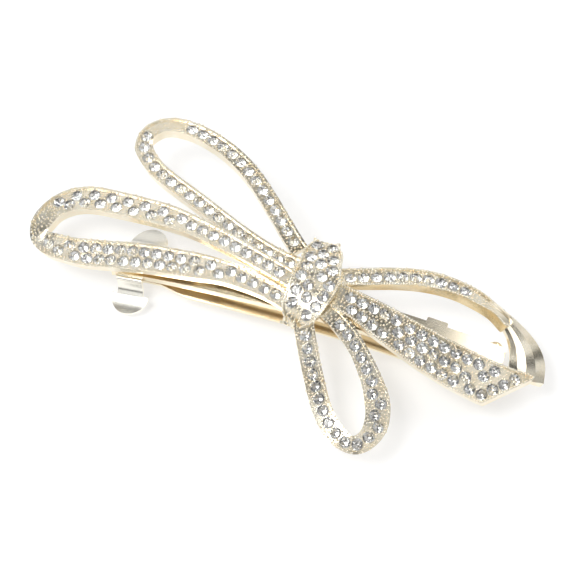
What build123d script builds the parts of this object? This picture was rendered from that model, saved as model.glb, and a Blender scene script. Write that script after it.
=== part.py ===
from build123d import *
import math
import os

os.makedirs("parts", exist_ok=True)

# Rhinestone bow hair clip on a French barrette clasp.  Millimetres.
# +X runs along the clasp from the latch to the hinge, +Y points to the side of
# the bow opposite the hanging loop, +Z is up out of the bow.  The origin is on
# the surface the clip lies on, under the middle of the clasp.

# How far a cutter runs past what it cuts.
OVERRUN = 1.0

# ---- clasp dimensions ----
PLATE_WIDTH = 5.4
PLATE_SHEET = 0.6
PLATE_TOP = 8.6
PLATE_RADIUS = 150.0
PLATE_LEFT = -36.4
PLATE_RIGHT = 32.4
FLANGE_DEPTH = 1.5
FLANGE_END_DEPTH = 1.0
FLANGE_STOP = 0.4
LUG_X = 20.0
LUG_LENGTH = 3.7
LUG_PROUD = 0.9
LUG_THICK = 0.5
LUG_ROOT = 0.3
LUG_CORNER = 0.25

HINGE_X = 30.5
HINGE_Z = 2.9
HINGE_LOBE_R = 1.2
EAR_LENGTH = 4.2
EAR_OVERHANG = 0.9
EAR_BLEND = 0.2
PIN_R = 0.5
PIN_CLEAR = 0.04
PIN_HEAD_R = 0.85
PIN_HEAD = 0.35

ARM_SHEET = 0.7
ARM_WIDTH = 7.2
ARM_EAR_SHEET = 0.6
ARM_EAR_R = 1.3
ARM_EAR_LENGTH = 5.0
ARM_SLOT_WIDTH = 3.4
ARM_SLOT_HALF = 17.5
TONGUE_WIDTH = 4.6
TONGUE_START = -27.5
TONGUE_END = -36.4
TONGUE_CHAMFER = 0.8
SHOULDER_LENGTH = 5.0
ARM_OVERHANG = 0.5
TONGUE_WINDOW_X = (-35.2, -31.0)
TONGUE_WINDOW_WIDTH = 3.2
ARM_CURVE = [(-36.8, 1.4), (-29, 2.85), (-15, 4.1), (0, 4.5), (14, 3.6), (24, 2.1), (31.2, 1.15)]

SPRING_SHEET = 0.4
SPRING_WIDTH = 3.4
SPRING_CURVE = [(24.5, 5.75), (10, 6.45), (0, 6.35), (-10, 5.9), (-20, 5.0)]

LATCH_X = -33.1
LATCH_SHEET = 0.55
BRIDGE_LENGTH = 4.7
BRIDGE_TOP = -0.62
BRIDGE_FOOT = -1.1
NOTCH_MARGIN = 0.4
NOTCH_DROP = 3.0
NOTCH_GAP = 0.01
WING_HINGE_Y = 3.2
WING_HINGE_DROP = -0.95
WING_BARREL_R = 0.42
WING_CLEAR = 0.05
WING_CURVE = [(3.35, -1.1), (3.6, -1.9), (4.2, -3.0), (5.2, -3.65), (8.5, -4.1)]
PRONG_CURVE = [(3.05, -1.2), (2.0, -1.9), (1.35, -2.4), (1.25, -3.1), (1.35, -3.6), (1.9, -3.95)]
PRONG_SHEET = 0.4
PRONG_LENGTH = 3.0
PADDLE_LENGTH = 6.8
PADDLE_START_Y = 5.0
PADDLE_END_Y = 8.4
PADDLE_CUT_BELOW = 6.0
PADDLE_CUT_HEIGHT = 8.0
NECK_OVERLAP = 0.6

RIVET_R = 0.75
RIVET_HEAD_R = 1.3
RIVET_HEAD = 0.35

# ---- bow dimensions ----
RIBBON_THICK = 2.0
RIM_WIDTH = 0.42
FIELD_DEPTH = 0.25
WALL_DRAFT = 0.25
STATION_GAP = 2.6

STONE_R = 1.02
STONE_TABLE_R = 0.62
STONE_CROWN = 0.36
STONE_GIRDLE = 0.08
STONE_PAVILION = 0.85
STONE_LIFT = 0.02
GLUE_FILM = 0.01
SEAT_HOLE_R = 0.3
SEAT_HOLE_DEPTH = 1.05
SEAT_OPEN = 0.6
STONE_MIN_GAP = 2.1
STONE_STEP = 0.1
STONE_SIDE_GAP = 0.12
STONE_SPACE = 0.1
TWO_ROW_REACH = 0.45
THREE_ROW_REACH = 1.6
FOUR_ROW_REACH = 2.3

# The crown of the bow curves gently down towards both clasp ends and the far
# side, and more steeply towards the hanging loop.
DOME_RX = 190.0
DOME_RY_NEAR = 50.0
DOME_RY_FAR = 110.0

# Guide points down the middle of each ribbon's upper face: x, y, z, width, lean.
# Lean turns the face about the ribbon's own direction, in degrees.
UPPER_LEFT_LOOP = [
    (-5.5, 7.2, 11.6, 3.1, 0),
    (-10.4, 11.8, 12.1, 3.1, 0),
    (-14.5, 15.8, 12.2, 3.1, 0),
    (-20.0, 20.2, 12.1, 3.1, 0),
    (-26.5, 23.3, 11.7, 3.1, 0),
    (-32.0, 24.4, 11.2, 3.1, 0),
    (-36.2, 23.3, 10.6, 3.1, 0),
    (-37.8, 20.2, 10.2, 3.1, 0),
    (-36.3, 17.6, 10.1, 3.1, 0),
    (-32.4, 14.8, 10.2, 3.1, 0),
    (-28.1, 12.9, 10.4, 3.1, 0),
    (-19.2, 9.0, 10.6, 3.1, 0),
    (-13.0, 6.6, 10.5, 3.1, 0),
    (-2.4, 4.5, 11.0, 3.1, 0),
]
LOWER_LEFT_LOOP = [
    (-3.5, 0.8, 12.8, 3.1, 0),
    (-11.8, 3.1, 12.8, 3.1, 0),
    (-21.4, 5.6, 12.2, 3.6, 0),
    (-30.3, 7.1, 11.2, 4.4, 0),
    (-38.7, 7.4, 10.0, 4.6, 0),
    (-44.5, 7.0, 9.1, 4.7, 0),
    (-48.2, 5.0, 8.2, 4.5, 0),
    (-50.0, 2.0, 7.6, 4.0, 0),
    (-49.8, -1.2, 7.4, 3.2, 0),
    (-46.4, -2.2, 7.3, 4.4, 0),
    (-40.0, -1.8, 7.5, 5.1, 0),
    (-31.8, -0.5, 8.5, 5.1, 0),
    (-23.9, 0.0, 9.6, 4.9, 0),
    (-14.7, 0.0, 10.7, 4.0, 0),
    (-8.0, -1.3, 11.0, 3.2, 0),
    (-2.0, -3.0, 11.2, 3.1, 0),
]
LOWER_RIGHT_LOOP = [
    (-2.0, -3.6, 11.4, 3.4, 0),
    (0.0, -7.6, 10.7, 3.4, 0),
    (2.1, -11.6, 9.6, 3.4, 0),
    (4.3, -15.4, 8.4, 3.4, 0),
    (6.7, -18.9, 7.4, 3.4, 0),
    (9.4, -21.2, 6.8, 3.3, 0),
    (12.4, -22.2, 6.6, 3.1, 0),
    (14.6, -20.4, 6.8, 3.5, 0),
    (15.2, -17.0, 7.4, 4.2, 0),
    (14.1, -13.6, 8.2, 4.2, 0),
    (11.8, -10.2, 9.1, 3.5, 0),
    (8.8, -6.8, 10.0, 3.1, 0),
    (5.7, -4.2, 10.7, 3.1, 0),
    (1.4, -1.7, 11.1, 3.1, 0),
]
UPPER_RIGHT_STRAND = [
    (1.2, 4.2, 11.3, 3.1, 0),
    (8.2, 6.3, 11.5, 3.5, -6),
    (16.6, 8.6, 11.1, 3.6, -12),
    (24.6, 8.6, 9.9, 3.2, -16),
    (28.8, 7.5, 9.0, 2.6, -22),
    (32.0, 5.8, 8.2, 2.2, -30),
]
TURN = [
    (27.4, 8.0, 9.0, 1.6, 0),
    (30.8, 6.6, 8.0, 2.4, 0),
    (33.4, 5.0, 6.9, 3.8, 0),
    (35.3, 3.0, 6.1, 5.4, 0),
    (36.4, 0.6, 5.9, 6.3, 0),
    (36.9, -2.0, 6.2, 6.3, 0),
]
TAIL = [
    (0.5, 1.4, 11.4, 4.4, 0),
    (4.6, 0.7, 11.3, 4.9, 0),
    (13.9, -1.8, 10.5, 6.4, 0),
    (20.4, -3.6, 9.6, 7.2, 0),
    (26.0, -4.8, 8.8, 7.7, 0),
    (30.0, -5.3, 8.1, 7.8, 0),
    (38.0, -5.6, 6.9, 7.8, 0),
]
KNOT = [
    (-1.6, 10.4, 11.0, 4.8, 0),
    (-1.5, 8.4, 12.2, 6.0, 0),
    (-1.2, 5.0, 13.2, 7.4, 0),
    (-1.2, 1.4, 13.7, 8.2, 0),
    (-1.9, -2.2, 13.0, 7.4, 0),
    (-2.8, -5.0, 11.2, 5.2, 0),
    (-3.2, -6.2, 9.4, 4.0, 0),
]
KNOT_THICK = 3.2
KNOT_HEADROOM = 0.3
HUB_CENTRE = (-1.6, 1.4)
HUB_RADII = (2.4, 5.0)
HUB_FOOT = 8.9
HUB_HEIGHT = 2.4
# Stretches at the loops' tips that carry no stones, as distances along the band.
UPPER_LEFT_BARE = (32.5, 39.5)
LOWER_LEFT_BARE = (47.5, 55.5)

# Solder pads: band, x, y, length, width, depth.
SOLDER_PADS = [
    ("loop_lower_left", -21.0, 0.2, 6.0, 3.4, 2.0),
    ("knot", -1.6, 0.0, 3.6, 3.6, 1.0),
    ("tail", 17.0, -1.2, 6.0, 2.6, 2.0),
]
SOLDER_SINK = 0.2

TAIL_CUT_FROM = (30.6, -9.4)
TAIL_CUT_TO = (38.8, -1.5)
TAIL_CUT_RIGHT = 8.0
TAIL_CUT_BELOW = 6.0
TAIL_CUT_HEIGHT = 20.0


def arch(x):
    """Height of the base plate's upper face."""
    return PLATE_TOP - x * x / (2 * PLATE_RADIUS)


def dome_normal(point):
    """Outward direction of the bow's gently domed face."""
    y_radius = DOME_RY_NEAR if point.Y < 0 else DOME_RY_FAR
    return Vector(point.X / DOME_RX, point.Y / y_radius, 1).normalized()


def sheet(curve, thickness, width, plane=Plane.XZ):
    """A strip of bent sheet metal: a side-view curve given thickness and width."""
    face = trace(Spline(*curve), thickness)
    return extrude(plane * face, width / 2, both=True)


def slab(x_range, width, low, high):
    """A box centred on the clasp's middle line."""
    x_low, x_high = x_range
    middle = ((x_low + x_high) / 2, 0, (low + high) / 2)
    return Pos(*middle) * Box(x_high - x_low, width, high - low)


# ---------------------------------------------------------------- ribbons


class Ribbon:
    """A band that follows guide points, with a width and lean at each one."""

    def __init__(self, guides):
        self.guides = guides
        self.path = Spline(*[guide[:3] for guide in guides])
        self.marks = [self.path.param_at_point(Vector(*guide[:3])) for guide in guides]
        self.marks[0] = 0.0
        self.marks[-1] = 1.0

    def value(self, column, t):
        """A guide column, eased between the two guides around t."""
        last = len(self.marks) - 1
        index = next(i for i in range(last) if t <= self.marks[i + 1] or i == last - 1)
        share = (t - self.marks[index]) / (self.marks[index + 1] - self.marks[index])
        eased = share * share * (3 - 2 * share)
        low = self.guides[index][column]
        return low + (self.guides[index + 1][column] - low) * eased

    def plane(self, t):
        """Section plane at t: X runs across the band, Y out of its face."""
        point = self.path.position_at(t)
        along = self.path.tangent_at(t)
        out = dome_normal(point)
        out = (out - along * out.dot(along)).normalized()
        out = out.rotate(Axis((0, 0, 0), along), self.value(4, t))
        across = out.cross(along)
        return Plane(origin=point, x_dir=across, z_dir=along)

    def loft(self, section):
        """Loft section(width) through evenly spaced stations."""
        count = max(4, math.ceil(self.path.length / STATION_GAP))
        stations = [i / count for i in range(count + 1)]
        faces = [self.plane(t) * section(self.value(3, t)) for t in stations]
        return loft(faces)

    def seats(self, first, last, bare=(0, 0)):
        """Stone planes in packed rows, but for the ends and a bare stretch."""
        placed = []
        length = self.path.length
        for i in range(int((length - first - last) / STONE_STEP) + 1):
            distance = first + i * STONE_STEP
            if bare[0] < distance < bare[1]:
                continue
            t = distance / length
            plane = self.plane(t)
            for offset in row_offsets(self.value(3, t)):
                origin = plane.from_local_coords((offset, -FIELD_DEPTH + STONE_LIFT, 0))
                if all((origin - other.origin).length > STONE_MIN_GAP for other in placed):
                    placed.append(Plane(origin=origin, x_dir=plane.x_dir, z_dir=plane.y_dir))
        return placed


def row_offsets(width):
    """Sideways places of the stone rows that a band of this width takes."""
    reach = width / 2 - RIM_WIDTH - STONE_R - STONE_SIDE_GAP
    if reach < TWO_ROW_REACH:
        return [0]
    rows = 2 + sum(reach > limit for limit in (THREE_ROW_REACH, FOUR_ROW_REACH))
    return [reach * (2 * row / (rows - 1) - 1) for row in range(rows)]


def channel(width, thick=RIBBON_THICK):
    """Cast ribbon section: raised rims each side of a sunk field."""
    half = width / 2
    foot = half - WALL_DRAFT
    inner = half - RIM_WIDTH
    outline = [
        (-foot, -thick),
        (foot, -thick),
        (half, 0),
        (inner, 0),
        (inner, -FIELD_DEPTH),
        (-inner, -FIELD_DEPTH),
        (-inner, 0),
        (-half, 0),
    ]
    return make_face(Polyline(*outline, close=True))


def scoop(width):
    """Plain polished section with a rim each side of a dished face."""
    half = width / 2
    foot = half - WALL_DRAFT
    outline = [
        (-foot, -1.4),
        (foot, -1.4),
        (half, 0),
        (half * 0.5, -width * 0.07),
        (0, -width * 0.1),
        (-half * 0.5, -width * 0.07),
        (-half, 0),
    ]
    return make_face(Polyline(*outline, close=True))


def stone():
    """Round stone: flat table, crown, girdle and pointed pavilion."""
    outline = [
        (0, -STONE_PAVILION),
        (STONE_R, 0),
        (STONE_R, STONE_GIRDLE),
        (STONE_TABLE_R, STONE_GIRDLE + STONE_CROWN),
        (0, STONE_GIRDLE + STONE_CROWN),
    ]
    face = Plane.XZ * make_face(Polyline(*outline, close=True))
    return revolve(face, Axis.Z)


def seat_cutter():
    """Space of a stone and its film of glue, with a drilled hole below."""
    wall = STONE_R + GLUE_FILM
    meet = -STONE_PAVILION * (1 - SEAT_HOLE_R / STONE_R) - GLUE_FILM
    outline = [
        (0, -SEAT_HOLE_DEPTH),
        (SEAT_HOLE_R, -SEAT_HOLE_DEPTH),
        (SEAT_HOLE_R, meet),
        (wall, 0),
        (wall, SEAT_OPEN),
        (0, SEAT_OPEN),
    ]
    face = Plane.XZ * make_face(Polyline(*outline, close=True))
    return revolve(face, Axis.Z)


def drilled(body, seats):
    """The body with a seat cut for every stone."""
    cutter = seat_cutter()
    for seat in seats:
        body = body.cut(seat * cutter)
    return body.solids().sort_by(SortBy.VOLUME)[-1]


# ---------------------------------------------------------------- clasp


def arch_side(depth, x_low, x_high):
    """Side view of a band that hangs the given depth below the plate's face."""
    top = [(x, arch(x)) for x in (x_low, 0, x_high)]
    bottom = [(x, z - depth) for x, z in reversed(top)]
    edges = [
        ThreePointArc(*top),
        Line(top[-1], bottom[0]),
        ThreePointArc(*bottom),
        Line(bottom[-1], top[0]),
    ]
    return make_face(edges)


def hinge_disc(radius, width):
    """Disc across the clasp on the hinge axis."""
    return Pos(HINGE_X, 0, HINGE_Z) * Rot(90, 0, 0) * Cylinder(radius, width)


def base_plate():
    """Arched strip with down-turned rims, hinge ears and spring lugs."""
    inner = PLATE_WIDTH - 2 * PLATE_SHEET
    flange_stop = HINGE_X - FLANGE_STOP
    outer = Plane.XZ * arch_side(FLANGE_DEPTH, PLATE_LEFT, flange_stop)
    end = Plane.XZ * arch_side(FLANGE_END_DEPTH, PLATE_LEFT, PLATE_RIGHT)
    body = extrude(outer, PLATE_WIDTH / 2, both=True) + extrude(end, PLATE_WIDTH / 2, both=True)
    ear = extrude(Plane.XZ * hinge_ear(), PLATE_WIDTH / 2, both=True)
    body += ear
    hollow = hollow_side(PLATE_LEFT - OVERRUN, PLATE_RIGHT + OVERRUN)
    body -= extrude(Plane.XZ * hollow, inner / 2, both=True)
    body -= latch_notch()
    for side in (-1, 1):
        body += spring_lug(side)
    body -= hinge_disc(PIN_R, PLATE_WIDTH + 2 * OVERRUN)
    body -= latch_frame() * Cylinder(RIVET_R, 4 * OVERRUN)
    return body


def hollow_side(x_low, x_high):
    """Side view of everything under the plate's sheet."""
    top = [(x, arch(x) - PLATE_SHEET) for x in (x_low, 0, x_high)]
    low = -OVERRUN
    edges = [
        ThreePointArc(*top),
        Line(top[-1], (x_high, low)),
        Line((x_high, low), (x_low, low)),
        Line((x_low, low), top[0]),
    ]
    return make_face(edges)


def hinge_ear():
    """Side view of the ear that carries the pin: a lobe under a web."""
    web_left = HINGE_X - EAR_LENGTH
    web_right = HINGE_X + EAR_OVERHANG
    web = Polyline(
        (web_left, arch(web_left) - FLANGE_DEPTH + EAR_BLEND),
        (HINGE_X - HINGE_LOBE_R, HINGE_Z),
        (HINGE_X + HINGE_LOBE_R, HINGE_Z),
        (web_right, arch(web_right) - 2 * EAR_BLEND),
        (web_left, arch(web_left) - 2 * EAR_BLEND),
        close=True,
    )
    return make_face(web) + Pos(HINGE_X, HINGE_Z) * Circle(HINGE_LOBE_R)


def latch_frame():
    """Where the latch sits: on the plate's face, square to its slope."""
    slope = math.degrees(math.asin(-LATCH_X / PLATE_RADIUS))
    return Pos(LATCH_X, 0, arch(LATCH_X)) * Rot(0, -slope, 0)


def latch_notch():
    """Room for the latch, where the plate's rims are cut away."""
    length = BRIDGE_LENGTH + 2 * NOTCH_MARGIN
    middle = -PLATE_SHEET - NOTCH_GAP - NOTCH_DROP / 2
    return latch_frame() * Pos(0, 0, middle) * Box(length, PLATE_WIDTH + OVERRUN, NOTCH_DROP)


def spring_lug(side):
    """Small tab folded out of the rim where the tension spring is anchored."""
    z = arch(LUG_X) - LUG_THICK / 2 - LUG_ROOT
    lug = Box(LUG_LENGTH, LUG_PROUD + LUG_ROOT, LUG_THICK)
    lug = fillet(lug.edges().filter_by(Axis.Z), LUG_CORNER)
    tilt = math.degrees(math.asin(LUG_X / PLATE_RADIUS))
    y = side * (PLATE_WIDTH + LUG_PROUD - LUG_ROOT) / 2
    return Pos(LUG_X, y, z) * Rot(0, tilt, 0) * lug


def closing_arm():
    """Lower bar: slotted middle, hinge ears and a windowed tongue."""
    arm = sheet(ARM_CURVE, ARM_SHEET, ARM_WIDTH)
    arm &= extrude(arm_outline(), 12)
    arm -= Pos(0, 0, 4) * extrude(SlotOverall(2 * ARM_SLOT_HALF, ARM_SLOT_WIDTH), 6, both=True)
    window = slab(TONGUE_WINDOW_X, TONGUE_WINDOW_WIDTH, 0, 5)
    arm -= fillet(window.edges().filter_by(Axis.Z), 0.4)
    for side in (-1, 1):
        arm += arm_ear(side)
    arm -= hinge_disc(PIN_R + PIN_CLEAR, ARM_WIDTH + 2 * OVERRUN)
    return arm


def arm_outline():
    """Plan view of the arm: broad bar that narrows to the tongue."""
    half = ARM_WIDTH / 2
    tongue = TONGUE_WIDTH / 2
    corner = TONGUE_END + TONGUE_CHAMFER
    shoulder = TONGUE_START + SHOULDER_LENGTH
    right = HINGE_X + ARM_OVERHANG
    outline = [
        (TONGUE_END, -tongue + TONGUE_CHAMFER),
        (corner, -tongue),
        (TONGUE_START, -tongue),
        (shoulder, -half),
        (right, -half),
        (right, half),
        (shoulder, half),
        (TONGUE_START, tongue),
        (corner, tongue),
        (TONGUE_END, tongue - TONGUE_CHAMFER),
    ]
    return make_face(Polyline(*outline, close=True))


def arm_ear(side):
    """Upturned ear outside the base plate's ear."""
    left = HINGE_X - ARM_EAR_LENGTH
    web = Polyline(
        (left - 1.5, 1.75),
        (HINGE_X + 0.5, 0.95),
        (HINGE_X + ARM_EAR_R, HINGE_Z),
        (HINGE_X, HINGE_Z + ARM_EAR_R),
        (left + 2.4, HINGE_Z + 0.5),
        close=True,
    )
    face = make_face(web) + Pos(HINGE_X, HINGE_Z) * Circle(ARM_EAR_R)
    y = side * (ARM_WIDTH / 2 - ARM_EAR_SHEET / 2)
    return Pos(0, y, 0) * extrude(Plane.XZ * face, ARM_EAR_SHEET / 2, both=True)


def hinge_pin():
    """Headed pin through both pairs of ears."""
    pin = hinge_disc(PIN_R, ARM_WIDTH + 0.2)
    for side in (-1, 1):
        head = hinge_disc(PIN_HEAD_R, PIN_HEAD)
        pin += Pos(0, side * (ARM_WIDTH / 2 + 0.06 + PIN_HEAD / 2), 0) * head
    return pin


def tension_spring():
    """Thin leaf between plate and arm, free at its latch end."""
    leaf = sheet(SPRING_CURVE, SPRING_SHEET, SPRING_WIDTH)
    left = SPRING_CURVE[-1][0]
    right = SPRING_CURVE[0][0]
    outline = RectangleRounded(right - left, SPRING_WIDTH, SPRING_WIDTH / 2 - 0.1)
    return leaf & Pos((left + right) / 2, 0, 0) * extrude(outline, 10)


def latch_bridge():
    """Cross piece riveted under the plate, with a socket along each side."""
    middle = (BRIDGE_TOP + BRIDGE_FOOT) / 2
    bar = Pos(0, middle) * Rectangle(2 * WING_HINGE_Y, BRIDGE_TOP - BRIDGE_FOOT)
    for side in (-1, 1):
        centre = Pos(side * WING_HINGE_Y, WING_HINGE_DROP)
        bar -= centre * Circle(WING_BARREL_R + WING_CLEAR)
    bridge = extrude(Plane.YZ * bar, BRIDGE_LENGTH / 2, both=True)
    bridge -= Cylinder(RIVET_R, 4)
    return latch_frame() * bridge


def latch_wing(side):
    """Sprung leg with a flared finger paddle and an outward hook inside."""
    leg = trace(Spline(*WING_CURVE), LATCH_SHEET)
    leg += Pos(WING_HINGE_Y, WING_HINGE_DROP) * Circle(WING_BARREL_R)
    blade = extrude(Plane.YZ * leg, PADDLE_LENGTH / 2, both=True)
    blade &= Pos(0, 0, -PADDLE_CUT_BELOW) * extrude(paddle_outline(), PADDLE_CUT_HEIGHT)
    prong = trace(Spline(*PRONG_CURVE), PRONG_SHEET)
    blade += extrude(Plane.YZ * prong, PRONG_LENGTH / 2, both=True)
    if side < 0:
        blade = mirror(blade, Plane.XZ)
    return latch_frame() * blade


def paddle_outline():
    """Plan view of a wing: straight neck, then a half-round flared paddle."""
    neck = BRIDGE_LENGTH / 2
    half = PADDLE_LENGTH / 2
    reach = PADDLE_END_Y - PADDLE_START_Y
    run = PADDLE_START_Y + NECK_OVERLAP
    strip = Pos(0, run / 2) * Rectangle(2 * neck, run)
    disc = Pos(0, PADDLE_START_Y) * Ellipse(half, reach)
    far_side = Pos(0, PADDLE_START_Y + reach / 2) * Rectangle(2 * half, reach)
    return strip + (disc & far_side)


def latch_rivet(plate):
    """Rivet that joins the latch bridge to the base plate."""
    shank = Pos(0, 0, BRIDGE_FOOT / 2) * Cylinder(RIVET_R, -BRIDGE_FOOT)
    head = Pos(0, 0, RIVET_HEAD / 2) * Cylinder(RIVET_HEAD_R, RIVET_HEAD)
    rivet = latch_frame() * (shank + head)
    return clear_of(rivet, plate)


# ---------------------------------------------------------------- bow


def knot():
    """Domed wrap band over the hub that the other bands run into."""
    band = Ribbon(KNOT)
    body = band.loft(lambda width: channel(width, KNOT_THICK)) + hub()
    return body, band.seats(1.7, 2.2)


def hub():
    """Post under the knot."""
    x, y = HUB_CENTRE
    return Pos(x, y, HUB_FOOT) * extrude(Ellipse(*HUB_RADII), HUB_HEIGHT)


def knot_space():
    """The knot's whole envelope, up to its rims and the tops of its stones."""
    height = KNOT_THICK + KNOT_HEADROOM
    middle = Pos(0, (KNOT_HEADROOM - KNOT_THICK) / 2)
    cover = Ribbon(KNOT).loft(lambda width: middle * Rectangle(width, height))
    return cover + hub()


def upper_left_loop():
    """Tall loop."""
    band = Ribbon(UPPER_LEFT_LOOP)
    return band.loft(channel), band.seats(2.0, 2.0, bare=UPPER_LEFT_BARE)


def lower_left_loop():
    """Long loop with a broad set field."""
    band = Ribbon(LOWER_LEFT_LOOP)
    return band.loft(channel), band.seats(2.0, 2.0, bare=LOWER_LEFT_BARE)


def lower_right_loop():
    """Hanging loop."""
    band = Ribbon(LOWER_RIGHT_LOOP)
    return band.loft(channel), band.seats(2.0, 2.0)


def upper_right_loop():
    """Right loop: a set strand, then a plain polished turn at its end."""
    strand = Ribbon(UPPER_RIGHT_STRAND)
    turn = Ribbon(TURN)
    body = strand.loft(channel) + turn.loft(scoop)
    return body, strand.seats(3.0, 8.2)


def tail():
    """Broad band under the right loop, cut off at a slant."""
    band = Ribbon(TAIL)
    x0, y0 = TAIL_CUT_FROM
    x1, y1 = TAIL_CUT_TO
    right = (x1 + TAIL_CUT_RIGHT, y0)
    below = (x1, y0 - TAIL_CUT_BELOW)
    beyond = make_face(Polyline((x0, y0), (x1, y1), right, below, close=True))
    cutter = extrude(beyond, TAIL_CUT_HEIGHT)
    body = band.loft(channel) - cutter
    kept = [seat for seat in band.seats(3.4, 0.5) if inside_tail(seat.origin)]
    return body, kept


def inside_tail(point):
    """Whether a stone at this point clears the tail's slanted end."""
    x0, y0 = TAIL_CUT_FROM
    x1, y1 = TAIL_CUT_TO
    length = math.hypot(x1 - x0, y1 - y0)
    away = ((point.Y - y0) * (x1 - x0) - (point.X - x0) * (y1 - y0)) / length
    return away > STONE_R + STONE_SPACE


def solder_pads(plate, bands):
    """Solder between the base plate and the underside of the bow."""
    pads = []
    for band, x, y, length, width, depth in SOLDER_PADS:
        blob = extrude(Ellipse(length / 2, width / 2), depth)
        blob = Pos(x, y, arch(x) - SOLDER_SINK) * blob
        pads.append(clear_of(clear_of(blob, plate), bands[band]))
    return pads


def clear_of(body, others):
    """The largest piece of the body outside the others."""
    left = body - others
    return left.solids().sort_by(SortBy.VOLUME)[-1]


def save(node, shapes):
    """Write one node."""
    shape = shapes[0] if len(shapes) == 1 else Compound(shapes)
    export_step(shape, f"parts/{node}.step")


def stands_clear(seat, others):
    """Whether a stone on this seat clears every other body."""
    reach = STONE_R + STONE_SPACE
    return all(other.distance_to(seat.origin) > reach for other in others)


def bow():
    """Every band of the bow with its stones; all but the knot end against it."""
    makers = {
        "loop_lower_left": lower_left_loop,
        "tail": tail,
        "loop_upper_right": upper_right_loop,
        "loop_lower_right": lower_right_loop,
        "loop_upper_left": upper_left_loop,
    }
    space = knot_space()
    bodies = {}
    seats = {}
    for name, maker in makers.items():
        body, seats[name] = maker()
        bodies[name] = clear_of(body, space)
    for name in makers:
        others = [space] + [body for other, body in bodies.items() if other != name]
        seats[name] = [seat for seat in seats[name] if stands_clear(seat, others)]
    bodies["knot"], seats["knot"] = knot()
    master = stone()
    bands = {name: drilled(body, seats[name]) for name, body in bodies.items()}
    stones = {name: [seat * master for seat in seats[name]] for name in bodies}
    return bands, stones


def main():
    plate = base_plate()
    bands, stones = bow()
    save("base_plate", [plate])
    save("latch_bridge", [latch_bridge()])
    save("latch_rivet", [latch_rivet(plate)])
    save("latch_wing_front", [latch_wing(-1)])
    save("latch_wing_back", [latch_wing(1)])
    save("closing_arm", [closing_arm()])
    save("hinge_pin", [hinge_pin()])
    save("tension_spring", [tension_spring()])
    save("solder_pads", solder_pads(plate, bands))
    for name, band in bands.items():
        save(name, [band])
        save("stones_" + name.removeprefix("loop_"), stones[name])


main()
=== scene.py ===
import math
import random

import bpy
import numpy as np
from mathutils import Matrix, Vector


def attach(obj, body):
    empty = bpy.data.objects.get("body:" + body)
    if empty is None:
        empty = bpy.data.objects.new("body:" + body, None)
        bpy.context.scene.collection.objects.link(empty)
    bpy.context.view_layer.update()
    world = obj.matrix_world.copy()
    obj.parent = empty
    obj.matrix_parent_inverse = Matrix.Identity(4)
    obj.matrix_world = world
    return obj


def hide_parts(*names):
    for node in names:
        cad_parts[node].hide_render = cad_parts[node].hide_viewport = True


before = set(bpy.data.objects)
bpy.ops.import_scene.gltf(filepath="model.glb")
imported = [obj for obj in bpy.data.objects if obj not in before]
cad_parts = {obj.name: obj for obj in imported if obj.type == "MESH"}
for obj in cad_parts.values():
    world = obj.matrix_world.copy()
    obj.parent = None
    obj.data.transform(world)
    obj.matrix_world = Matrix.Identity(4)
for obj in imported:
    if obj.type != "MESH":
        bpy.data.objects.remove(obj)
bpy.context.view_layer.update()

MM = 0.001

BANDS = (
    "knot",
    "loop_lower_left",
    "loop_lower_right",
    "loop_upper_left",
    "loop_upper_right",
    "tail",
)
ROOT = "clasp_and_bow"

# ---- cut stones, in millimetres from the girdle's plane ----
FACETS = 8
STONE_R = 1.04
TABLE_R = 0.58
CROWN_MID_R = 0.82
CROWN_TOP = 0.46
CROWN_MID = 0.31
GIRDLE = 0.08
CULET = -0.78
PAVILION_MID_R = 0.48
PAVILION_MID = -0.42
STONE_TILT = 0.05
RIM_SHARE = 0.9

# ---- bead rows on the rims, in millimetres ----
RIM_WIDTH = 0.42
NARROWEST_RIM = 0.7 * RIM_WIDTH
WIDEST_RIM = 1.3 * RIM_WIDTH
SMALLEST_RIM = 0.8
SHORTEST_CHAIN = 8
OUTLINE_POINTS = 1200
OUTLINE_PROBES = 100
BEAD_R = 0.21
BEAD_SIZES = (0.9, 1.08)
BEAD_HEIGHT = 0.9
BEAD_PITCH = 0.46
BEAD_LIFT = 0.03

# ---- the tail's slanted end, in millimetres ----
END_UPRIGHT = 0.01
END_FACING = 0.5
END_TOP = 0.8
END_LENGTH = 6.0
END_INSET = 0.22
END_SINK = 0.12

# ---- setting grains on the fields, in millimetres ----
UPWARD = 0.55
GRAIN_R = 0.19
GRAIN_SIZES = (0.8, 1.15)
GRAIN_HEIGHT = 1.2
GRAIN_LIFT = 0.04
GRAIN_TRIES = 9000
GRAIN_GAP = 0.5
GRAIN_FROM_STONE = STONE_R + GRAIN_R * 0.6
GRAIN_FROM_RIM = RIM_WIDTH * 0.9
POLISHED_FROM = 28.5

# ---- mesh reading ----
WELD = 1e-4
TINY = 1e-9
UP = np.array([0.0, 0.0, 1.0])

rng = random.Random(7)


# ------------------------------------------------------------------ mesh reading


def mesh_arrays(node):
    """A CAD node's vertices (mm) and triangles, one vertex set per CAD face."""
    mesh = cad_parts[node].data
    points = np.empty(len(mesh.vertices) * 3)
    mesh.vertices.foreach_get("co", points)
    mesh.calc_loop_triangles()
    triangles = np.empty(len(mesh.loop_triangles) * 3, dtype=np.int64)
    mesh.loop_triangles.foreach_get("vertices", triangles)
    return points.reshape(-1, 3) / MM, triangles.reshape(-1, 3)


def islands(count, triangles):
    """Groups of triangles that share vertices."""
    parent = list(range(count))

    def root(i):
        while parent[i] != i:
            parent[i] = parent[parent[i]]
            i = parent[i]
        return i

    for a, b, c in triangles.tolist():
        ra, rb, rc = root(a), root(b), root(c)
        parent[rb] = ra
        parent[root(rc)] = ra
    groups = {}
    for index, triangle in enumerate(triangles.tolist()):
        groups.setdefault(root(triangle[0]), []).append(index)
    return [triangles[group] for group in groups.values()]


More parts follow.
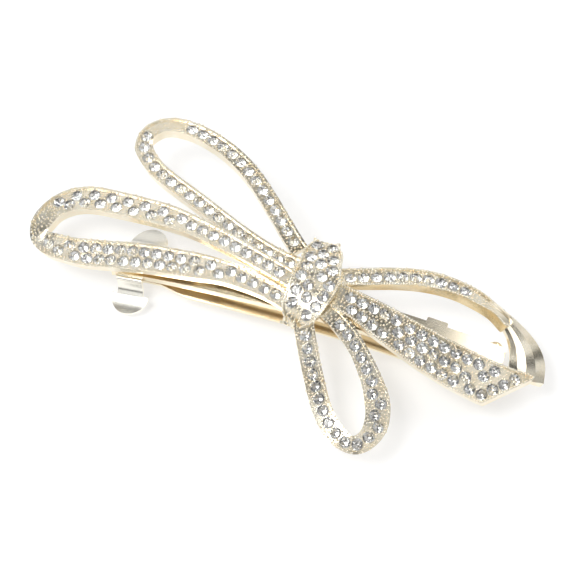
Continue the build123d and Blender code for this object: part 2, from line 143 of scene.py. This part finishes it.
def welded(points, triangles):
    """The same mesh with coincident vertices joined."""
    keys = np.round(points / WELD).astype(np.int64)
    _, first, back = np.unique(keys, axis=0, return_index=True, return_inverse=True)
    back = back.reshape(-1)
    return points[first], back[triangles]


def area_and_normal(points, triangles):
    """Total area and mean normal of a patch."""
    a, b, c = (points[triangles[:, k]] for k in range(3))
    cross = np.cross(b - a, c - a)
    area = np.linalg.norm(cross, axis=1).sum() / 2
    total = cross.sum(axis=0)
    return area, total / max(np.linalg.norm(total), TINY)


def boundary_loop(triangles):
    """The longest closed chain of edges used by one triangle only."""
    edges = np.vstack([triangles[:, [0, 1]], triangles[:, [1, 2]], triangles[:, [2, 0]]])
    keys = np.sort(edges, axis=1)
    _, index, counts = np.unique(keys, axis=0, return_index=True, return_counts=True)
    follow = {int(edges[i][0]): int(edges[i][1]) for i, n in zip(index, counts) if n == 1}
    best = []
    while follow:
        start = next(iter(follow))
        chain = [start]
        while chain[-1] in follow:
            chain.append(follow.pop(chain[-1]))
        if len(chain) > len(best):
            best = chain
    return best[:-1] if len(best) > 1 and best[0] == best[-1] else best


def resample(line, count):
    """Evenly spaced points along a polyline."""
    steps = np.linalg.norm(np.diff(line, axis=0), axis=1)
    along = np.concatenate([[0], np.cumsum(steps)])
    wanted = np.linspace(0, along[-1], count)
    return np.stack([np.interp(wanted, along, line[:, k]) for k in range(3)], axis=1)


def strip_centre(points, triangles):
    """Middle line of a long narrow patch, and the patch's mean width.

    The two sides pair up badly on a strongly bent patch, whose width comes out too large.
    """
    chain = boundary_loop(triangles)
    if len(chain) < SHORTEST_CHAIN:
        return None, 0.0
    outline = resample(points[chain + chain[:1]], OUTLINE_POINTS + 1)[:-1]
    probes = np.arange(0, OUTLINE_POINTS, OUTLINE_POINTS // OUTLINE_PROBES)
    widths = []
    for fold in range(OUTLINE_POINTS):
        partners = (fold - probes) % OUTLINE_POINTS
        widths.append(np.linalg.norm(outline[probes] - outline[partners], axis=1).mean())
    fold = int(np.argmin(widths))
    here = np.arange(fold // 2, fold // 2 + OUTLINE_POINTS // 2)
    there = (fold - here) % OUTLINE_POINTS
    middle = (outline[here % OUTLINE_POINTS] + outline[there]) / 2
    return middle, widths[fold]


# ------------------------------------------------------------------ mesh making


def icosphere(level):
    """Vertices and triangles of a unit ball."""
    gold = (1 + 5**0.5) / 2
    verts = [(-1, gold, 0), (1, gold, 0), (-1, -gold, 0), (1, -gold, 0)]
    verts += [(0, -1, gold), (0, 1, gold), (0, -1, -gold), (0, 1, -gold)]
    verts += [(gold, 0, -1), (gold, 0, 1), (-gold, 0, -1), (-gold, 0, 1)]
    verts = [np.array(v, float) / np.linalg.norm(v) for v in verts]
    faces = [(0, 11, 5), (0, 5, 1), (0, 1, 7), (0, 7, 10), (0, 10, 11)]
    faces += [(1, 5, 9), (5, 11, 4), (11, 10, 2), (10, 7, 6), (7, 1, 8)]
    faces += [(3, 9, 4), (3, 4, 2), (3, 2, 6), (3, 6, 8), (3, 8, 9)]
    faces += [(4, 9, 5), (2, 4, 11), (6, 2, 10), (8, 6, 7), (9, 8, 1)]
    for _ in range(level):
        middles = {}
        finer = []

        def middle(a, b):
            key = (min(a, b), max(a, b))
            if key not in middles:
                point = verts[a] + verts[b]
                verts.append(point / np.linalg.norm(point))
                middles[key] = len(verts) - 1
            return middles[key]

        for a, b, c in faces:
            ab, bc, ca = middle(a, b), middle(b, c), middle(c, a)
            finer += [(a, ab, ca), (b, bc, ab), (c, ca, bc), (ab, bc, ca)]
        faces = finer
    return np.array(verts), faces


def stamp(name, shape, faces, places, materials, face_slots=None, smooth=True):
    """One mesh object holding a copy of shape at every 3x4 place (mm)."""
    count = len(shape)
    verts = np.empty((len(places) * count, 3))
    polygons = []
    for index, place in enumerate(places):
        verts[index * count : (index + 1) * count] = shape @ place[:, :3].T + place[:, 3]
        base = index * count
        polygons += [tuple(base + k for k in face) for face in faces]
    mesh = bpy.data.meshes.new(name)
    mesh.from_pydata((verts * MM).tolist(), [], polygons)
    if face_slots is not None:
        slots = np.tile(np.array(face_slots), len(places))
        mesh.polygons.foreach_set("material_index", slots)
    mesh.polygons.foreach_set("use_smooth", [smooth] * len(mesh.polygons))
    for material in materials:
        mesh.materials.append(material)
    mesh.update()
    obj = bpy.data.objects.new(name, mesh)
    bpy.context.scene.collection.objects.link(obj)
    return obj


def place_at(origin, axis, size, turn=0.0, stretch=1.0):
    """3x4 placement: size in mm, long axis stretched, turned about the axis."""
    axis = np.array(axis, float) / np.linalg.norm(axis)
    helper = np.array([1.0, 0, 0]) if abs(axis[0]) < 0.9 else np.array([0, 1.0, 0])
    side = np.cross(axis, helper)
    side /= np.linalg.norm(side)
    other = np.cross(axis, side)
    u = math.cos(turn) * side + math.sin(turn) * other
    v = np.cross(axis, u)
    return np.column_stack([u * size, v * size, axis * size * stretch, origin])


def cut_stone():
    """Round brilliant: vertices (mm), faces, and 0 for crown or 1 for foil."""

    def ring(count, radius, z, offset=0.0):
        angles = [2 * math.pi * (k + offset) / count for k in range(count)]
        return [(radius * math.cos(a), radius * math.sin(a), z) for a in angles]

    verts = ring(FACETS, TABLE_R, CROWN_TOP)
    verts += ring(FACETS, CROWN_MID_R, CROWN_MID, 0.5)
    verts += ring(2 * FACETS, STONE_R, GIRDLE)
    verts += ring(2 * FACETS, STONE_R, 0.0)
    verts += ring(FACETS, PAVILION_MID_R, PAVILION_MID, 0.5)
    verts += [(0, 0, CULET)]
    table, mid, girdle, lower, deep, tip = (FACETS * k for k in (0, 1, 2, 4, 6, 7))
    faces = [tuple(range(FACETS))]
    slots = [0]
    for k in range(FACETS):
        before = (k - 1) % FACETS
        after = (k + 1) % FACETS
        g0, g1, g2 = 2 * k, 2 * k + 1, 2 * after
        crown = [
            (table + k, mid + k, table + after),
            (table + k, mid + before, girdle + g0, mid + k),
            (mid + k, girdle + g0, girdle + g1),
            (mid + k, girdle + g1, girdle + g2),
            (girdle + g0, lower + g0, lower + g1, girdle + g1),
            (girdle + g1, lower + g1, lower + g2, girdle + g2),
        ]
        foil = [
            (deep + k, lower + g1, lower + g0),
            (deep + k, lower + g2, lower + g1),
            (tip, deep + k, lower + g0, deep + before),
        ]
        faces += crown + foil
        slots += [0] * len(crown) + [1] * len(foil)
    return np.array(verts), faces, slots


# ------------------------------------------------------------------ materials

DARK_AT = 0.3
LIGHT_AT = 0.68
WAVE_STRENGTH = 0.25
WAVE_DEPTH = 3
SKIN_STRENGTH = 0.3
GLASS_IOR = 1.58


def new_material(name):
    """An empty node material with one principled shader."""
    material = bpy.data.materials.new(name)
    material.use_nodes = True
    nodes = material.node_tree.nodes
    nodes.clear()
    output = nodes.new("ShaderNodeOutputMaterial")
    shader = nodes.new("ShaderNodeBsdfPrincipled")
    material.node_tree.links.new(shader.outputs[0], output.inputs[0])
    return material, shader


def noise(material, scale, detail=3.0, rough=0.55, distortion=0.0):
    """A noise texture in object space; scale is per metre."""
    tree = material.node_tree
    coords = tree.nodes.new("ShaderNodeTexCoord")
    texture = tree.nodes.new("ShaderNodeTexNoise")
    texture.inputs["Scale"].default_value = scale
    texture.inputs["Detail"].default_value = detail
    texture.inputs["Roughness"].default_value = rough
    texture.inputs["Distortion"].default_value = distortion
    tree.links.new(coords.outputs["Object"], texture.inputs["Vector"])
    return texture.outputs["Fac"]


def ramp(material, value, stops):
    """Colour ramp over value: stops are (position, colour)."""
    tree = material.node_tree
    node = tree.nodes.new("ShaderNodeValToRGB")
    elements = node.color_ramp.elements
    while len(elements) < len(stops):
        elements.new(0.5)
    for element, (position, colour) in zip(elements, stops):
        element.position = position
        element.color = (*colour, 1.0)
    tree.links.new(value, node.inputs["Fac"])
    return node.outputs["Color"]


def remap(material, value, low, high):
    """value from 0..1 to low..high."""
    tree = material.node_tree
    node = tree.nodes.new("ShaderNodeMapRange")
    node.inputs["To Min"].default_value = low
    node.inputs["To Max"].default_value = high
    tree.links.new(value, node.inputs["Value"])
    return node.outputs["Result"]


def bump(material, shader, heights, edge_round=0.0):
    """Chain of bumps: (value, strength, distance in mm); soft edges at the end."""
    tree = material.node_tree
    previous = None
    if edge_round > 0:
        bevel = tree.nodes.new("ShaderNodeBevel")
        bevel.samples = 4
        bevel.inputs["Radius"].default_value = edge_round * MM
        previous = bevel.outputs["Normal"]
    for value, strength, distance in heights:
        node = tree.nodes.new("ShaderNodeBump")
        node.inputs["Strength"].default_value = strength
        node.inputs["Distance"].default_value = distance * MM
        tree.links.new(value, node.inputs["Height"])
        if previous is not None:
            tree.links.new(previous, node.inputs["Normal"])
        previous = node.outputs["Normal"]
    if previous is not None:
        tree.links.new(previous, shader.inputs["Normal"])


def metal(name, light, dark, rough, patches=(300.0, 2500.0), depth=0.02, edge_round=0.06):
    """Plated metal with uneven colour, uneven polish and a fine skin."""
    material, shader = new_material(name)
    tree = material.node_tree
    broad = noise(material, patches[0], 4.0)
    fine = noise(material, patches[1], 5.0, 0.6)
    colour = ramp(material, broad, [(DARK_AT, dark), (LIGHT_AT, light)])
    tree.links.new(colour, shader.inputs["Base Color"])
    tree.links.new(remap(material, fine, rough[0], rough[1]), shader.inputs["Roughness"])
    shader.inputs["Metallic"].default_value = 1.0
    heights = [(broad, WAVE_STRENGTH, depth * WAVE_DEPTH), (fine, SKIN_STRENGTH, depth)]
    bump(material, shader, heights, edge_round)
    return material


def crystal():
    """Clear glass of the stones' crowns."""
    material, shader = new_material("crystal")
    tree = material.node_tree
    grime = noise(material, 1800.0, 3.0)
    tint = ramp(material, grime, [(0.35, (0.985, 0.985, 0.98)), (0.7, (1.0, 1.0, 1.0))])
    tree.links.new(tint, shader.inputs["Base Color"])
    tree.links.new(remap(material, grime, 0.0, 0.03), shader.inputs["Roughness"])
    shader.inputs["Transmission Weight"].default_value = 1.0
    shader.inputs["IOR"].default_value = GLASS_IOR
    return material


def foil():
    """Silver foil behind the stones."""
    material, shader = new_material("foil")
    tree = material.node_tree
    wear = noise(material, 900.0, 3.0)
    tint = ramp(material, wear, [(0.35, (0.70, 0.69, 0.67)), (0.65, (0.92, 0.92, 0.91))])
    tree.links.new(tint, shader.inputs["Base Color"])
    tree.links.new(remap(material, wear, 0.0, 0.05), shader.inputs["Roughness"])
    shader.inputs["Metallic"].default_value = 1.0
    return material


CAST = metal("cast_gold", (0.95, 0.90, 0.77), (0.89, 0.79, 0.60), (0.11, 0.29))
# The beads and grains are the same cast gold as the bands. Their paler base colour is a
# painted highlight on the raised tops, and the mottling within it is random tone.
GRAIN_GOLD_PAINTED_HIGHLIGHT = metal(
    "grain_gold_painted_highlight", (0.97, 0.94, 0.85), (0.91, 0.83, 0.66), (0.11, 0.25), edge_round=0.0
)
SHEET = metal(
    "plated_sheet", (0.98, 0.90, 0.73), (0.96, 0.84, 0.62), (0.14, 0.30), (120.0, 900.0), 0.002
)
LATCH = metal(
    "latch_metal", (0.98, 0.96, 0.88), (0.96, 0.92, 0.82), (0.18, 0.30), (150.0, 900.0), 0.002
)
LEAF = metal(
    "spring_leaf", (0.88, 0.78, 0.60), (0.80, 0.68, 0.48), (0.12, 0.28), (150.0, 1800.0), 0.006
)
PIN = metal(
    "pin_metal", (0.92, 0.82, 0.62), (0.85, 0.72, 0.50), (0.10, 0.22), (400.0, 2500.0), 0.006
)
SOLDER = metal(
    "solder_dull", (0.66, 0.60, 0.50), (0.48, 0.42, 0.34), (0.35, 0.6), (500.0, 2200.0), 0.05
)
CRYSTAL = crystal()
FOIL = foil()

LOOKS = {
    "base_plate": (SHEET, "plated_sheet"),
    "closing_arm": (SHEET, "plated_sheet"),
    "latch_bridge": (LATCH, "latch_metal"),
    "latch_wing_front": (LATCH, "latch_metal"),
    "latch_wing_back": (LATCH, "latch_metal"),
    "tension_spring": (LEAF, "spring_leaf"),
    "hinge_pin": (PIN, "pin_metal"),
    "latch_rivet": (PIN, "pin_metal"),
    "solder_pads": (SOLDER, "solder"),
}
for band in BANDS:
    LOOKS[band] = (CAST, "cast_gold")
for node, (material, slot) in LOOKS.items():
    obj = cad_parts[node]
    obj.data.materials.clear()
    obj.data.materials.append(material)


# ------------------------------------------------------------------ stones


def stone_places(node):
    """Centre and outward axis of every stone in a node."""
    points, triangles = mesh_arrays(node)
    points, triangles = welded(points, triangles)
    found = []
    for group in islands(len(points), triangles):
        own = points[np.unique(group)]
        spread = own - own.mean(axis=0)
        _, vectors = np.linalg.eigh(spread.T @ spread)
        axis = vectors[:, 0] * (1 if vectors[2, 0] > 0 else -1)
        height = spread @ axis
        radial = np.linalg.norm(spread - np.outer(height, axis), axis=1)
        rim = own[radial > RIM_SHARE * radial.max()]
        centre = rim.mean(axis=0) - axis * GIRDLE / 2
        found.append((centre, axis))
    return found


shape, faces, face_slots = cut_stone()
STONES = {}
for band in BANDS:
    node = "stones_" + band.removeprefix("loop_")
    STONES[band] = stone_places(node)
    places = []
    for centre, axis in STONES[band]:
        tilt = Vector((rng.uniform(-1, 1), rng.uniform(-1, 1), 0)) * STONE_TILT
        tipped = (Vector(axis) + tilt).normalized()
        places.append(place_at(centre, tipped, 1.0, rng.uniform(0, math.tau)))
    name = "cut_" + node
    obj = stamp(name, shape, faces, places, [CRYSTAL, FOIL], face_slots, smooth=False)
    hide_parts(node)
    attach(obj, ROOT)


# ------------------------------------------------------------------ beads and grains


def rim_lines(band):
    """Middle lines of the rims' upper faces, where the measured width is a rim's.

    The long bent rims of loop_lower_left, loop_upper_left and loop_lower_right measure too
    wide and are left out. The walls of some stones' drilled holes come in by mistake.
    """
    points, triangles = mesh_arrays(band)
    lines = []
    for group in islands(len(points), triangles):
        area, normal = area_and_normal(points, group)
        if normal[2] < UPWARD or area < SMALLEST_RIM:
            continue
        line, width = strip_centre(points, group)
        if NARROWEST_RIM < width < WIDEST_RIM:
            lines.append(line)
    return lines


def cut_edge(node):
    """Upper edge of the tail's slanted end, a little inside it."""
    points, triangles = mesh_arrays(node)
    for group in islands(len(points), triangles):
        area, normal = area_and_normal(points, group)
        if area < SMALLEST_RIM or abs(normal[2]) > END_UPRIGHT or normal[0] < END_FACING:
            continue
        own = points[np.unique(group)]
        along = np.cross(normal, UP)
        reach = own @ along
        top = own[own[:, 2] > own[:, 2].max() - END_TOP]
        ends = [top[np.argmin(top @ along)], top[np.argmax(top @ along)]]
        if reach.max() - reach.min() > END_LENGTH:
            return np.array(ends) - normal * END_INSET - UP * END_SINK
    return None


ball, ball_faces = icosphere(1)


def bead_rows(band):
    """Evenly spaced points along every line that rim_lines finds."""
    rows = []
    lines = rim_lines(band)
    if band == "tail":
        lines.append(cut_edge(band))
    for line in lines:
        length = np.linalg.norm(np.diff(line, axis=0), axis=1).sum()
        rows.append(resample(line, max(2, round(length / BEAD_PITCH))))
    return rows


def bead_places(rows):
    """A close row of beads on every found line."""
    places = []
    for row in rows:
        for point in row:
            size = BEAD_R * rng.uniform(*BEAD_SIZES)
            turn = rng.uniform(0, 3)
            places.append(place_at(point + UP * BEAD_LIFT, UP, size, turn, BEAD_HEIGHT))
    return places


def field_samples(band, count):
    """Random points on the upward faces of a band, with their normals."""
    points, triangles = mesh_arrays(band)
    a, b, c = (points[triangles[:, k]] for k in range(3))
    cross = np.cross(b - a, c - a)
    size = np.linalg.norm(cross, axis=1)
    normal = cross / np.maximum(size, TINY)[:, None]
    up = normal[:, 2] > UPWARD
    a, b, c, size, normal = (array[up] for array in (a, b, c, size, normal))
    source = np.random.default_rng(len(band))
    chosen = source.choice(len(size), count, p=size / size.sum())
    u, v = source.random((2, count))
    fold = u + v > 1
    u[fold], v[fold] = 1 - u[fold], 1 - v[fold]
    spots = a[chosen] + (b - a)[chosen] * u[:, None] + (c - a)[chosen] * v[:, None]
    return spots, normal[chosen]


def grain_places(band, rows):
    """Setting grains over the field, clear of the stones and the rims."""
    spots, normals = field_samples(band, GRAIN_TRIES)
    keep = np.ones(len(spots), bool)
    if band == "loop_upper_right":
        keep &= spots[:, 0] < POLISHED_FROM
    for centre, axis in STONES[band]:
        keep &= np.linalg.norm(spots - centre - axis * GIRDLE, axis=1) > GRAIN_FROM_STONE
    for row in rows:
        for centre in row[::2]:
            keep &= np.linalg.norm(spots - centre, axis=1) > GRAIN_FROM_RIM
    spots, normals = spots[keep], normals[keep]
    places = []
    while len(spots):
        spot, normal = spots[0], normals[0]
        size = GRAIN_R * rng.uniform(*GRAIN_SIZES)
        places.append(place_at(spot + normal * GRAIN_LIFT, normal, size, 0.0, GRAIN_HEIGHT))
        far = np.linalg.norm(spots - spot, axis=1) > GRAIN_GAP
        spots, normals = spots[far], normals[far]
    return places


def add_balls(name, places):
    """One mesh of balls that belongs to the casting."""
    if not places:
        return
    # The balls get the paler gold, which is a painted highlight on the raised beads and
    # grains.
    obj = stamp(name, ball, ball_faces, places, [GRAIN_GOLD_PAINTED_HIGHLIGHT])
    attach(obj, ROOT)


for band in BANDS:
    rows = bead_rows(band)
    add_balls("milgrain_" + band, bead_places(rows))
    add_balls("grains_" + band, grain_places(band, rows))


# ------------------------------------------------------------------ studio

FLOOR_SIDE = 3.0
FLOOR_GLOW = 0.5
FLOOR_GREYS = [(0.3, (0.60, 0.60, 0.60)), (0.7, (0.62, 0.62, 0.62))]
SKY_SCALE = 2.6
SKY_DARK_AT = 0.44
SKY_DARK = 0.05
SKY_LIGHT_AT = 0.54
SKY_STRENGTH = 0.88

# Round patches in the surroundings: direction, angular radius and brightness.
SURROUNDINGS = [
    ((-0.47, 0.62, 0.63), 0.28, 0.95),
    ((0.05, 0.404, 0.91), 0.09, 0.06),
]
PATCH_OUTER = 1.3
PATCH_INNER = 0.7

# Soft lights: name, place, size and power.
LIGHTS = [
    ("key", (-0.35, -0.15, 0.75), 0.35, 3.0),
    ("fill", (0.45, 0.35, 0.6), 0.4, 1.5),
]

# Sockets of a colour Mix node, whose names aren't unique.
MIX_FACTOR, MIX_A, MIX_B, MIX_RESULT = 0, 6, 7, 2


def floor():
    """Pale floor that fades the shadows."""
    material, shader = new_material("floor_white")
    tint = ramp(material, noise(material, 6.0, 2.0), FLOOR_GREYS)
    material.node_tree.links.new(tint, shader.inputs["Base Color"])
    shader.inputs["Roughness"].default_value = 0.7
    shader.inputs["Emission Color"].default_value = (1.0, 1.0, 1.0, 1.0)
    shader.inputs["Emission Strength"].default_value = FLOOR_GLOW
    mesh = bpy.data.meshes.new("floor")
    side = FLOOR_SIDE
    corners = [(-side, -side, 0), (side, -side, 0), (side, side, 0), (-side, side, 0)]
    mesh.from_pydata(corners, [], [(0, 1, 2, 3)])
    mesh.materials.append(material)
    obj = bpy.data.objects.new("floor", mesh)
    bpy.context.scene.collection.objects.link(obj)


def surroundings():
    """Soft mottled surroundings with one bright and one dark patch."""
    world = bpy.data.worlds.new("studio")
    bpy.context.scene.world = world
    world.use_nodes = True
    tree = world.node_tree
    tree.nodes.clear()
    output = tree.nodes.new("ShaderNodeOutputWorld")
    background = tree.nodes.new("ShaderNodeBackground")
    coords = tree.nodes.new("ShaderNodeTexCoord")
    texture = tree.nodes.new("ShaderNodeTexNoise")
    texture.inputs["Scale"].default_value = SKY_SCALE
    texture.inputs["Detail"].default_value = 2.0
    shades = tree.nodes.new("ShaderNodeValToRGB")
    dark, light = shades.color_ramp.elements
    dark.position = SKY_DARK_AT
    dark.color = (SKY_DARK, SKY_DARK, SKY_DARK, 1)
    light.position = SKY_LIGHT_AT
    light.color = (1.0, 1.0, 1.0, 1)
    tree.links.new(coords.outputs["Generated"], texture.inputs["Vector"])
    tree.links.new(texture.outputs["Fac"], shades.inputs["Fac"])
    colour = shades.outputs["Color"]
    for direction, radius, value in SURROUNDINGS:
        dot = tree.nodes.new("ShaderNodeVectorMath")
        dot.operation = "DOT_PRODUCT"
        dot.inputs[1].default_value = Vector(direction).normalized()
        tree.links.new(coords.outputs["Generated"], dot.inputs[0])
        inside = tree.nodes.new("ShaderNodeMapRange")
        inside.interpolation_type = "SMOOTHSTEP"
        inside.inputs["From Min"].default_value = math.cos(radius * PATCH_OUTER)
        inside.inputs["From Max"].default_value = math.cos(radius * PATCH_INNER)
        tree.links.new(dot.outputs["Value"], inside.inputs["Value"])
        mix = tree.nodes.new("ShaderNodeMix")
        mix.data_type = "RGBA"
        mix.inputs[MIX_B].default_value = (value, value, value, 1)
        tree.links.new(inside.outputs["Result"], mix.inputs[MIX_FACTOR])
        tree.links.new(colour, mix.inputs[MIX_A])
        colour = mix.outputs[MIX_RESULT]
    tree.links.new(colour, background.inputs["Color"])
    background.inputs["Strength"].default_value = SKY_STRENGTH
    tree.links.new(background.outputs[0], output.inputs[0])


def lights():
    """Large soft lights aimed at the clip."""
    for name, place, size, power in LIGHTS:
        light = bpy.data.lights.new(name, "AREA")
        light.size = size
        light.energy = power
        lamp = bpy.data.objects.new(name, light)
        lamp.location = place
        lamp.rotation_euler = (-Vector(place)).to_track_quat("-Z", "Y").to_euler()
        bpy.context.scene.collection.objects.link(lamp)


AZIMUTH = 17.0
ELEVATION = 65.0
DISTANCE = 0.3707
AIM = Vector((-5.55, 0.46, 10.14)) * MM
FIELD_OF_VIEW = 14.92


def camera():
    """Camera above and a little to the right of the clip."""
    a = math.radians(AZIMUTH)
    e = math.radians(ELEVATION)
    back = Vector((math.sin(a) * math.cos(e), -math.cos(a) * math.cos(e), math.sin(e)))
    right = Vector((math.cos(a), math.sin(a), 0))
    up = back.cross(right)
    data = bpy.data.cameras.new("camera")
    data.angle = math.radians(FIELD_OF_VIEW)
    data.clip_start = 0.01
    obj = bpy.data.objects.new("camera", data)
    turn = Matrix((right, up, back)).transposed().to_4x4()
    obj.matrix_world = Matrix.Translation(AIM + back * DISTANCE) @ turn
    bpy.context.scene.collection.objects.link(obj)
    bpy.context.scene.camera = obj


floor()
surroundings()
lights()
camera()
bpy.context.scene.view_settings.view_transform = "Standard"
bpy.context.scene.cycles.max_bounces = 16
bpy.context.scene.cycles.transmission_bounces = 12
bpy.context.scene.cycles.glossy_bounces = 8
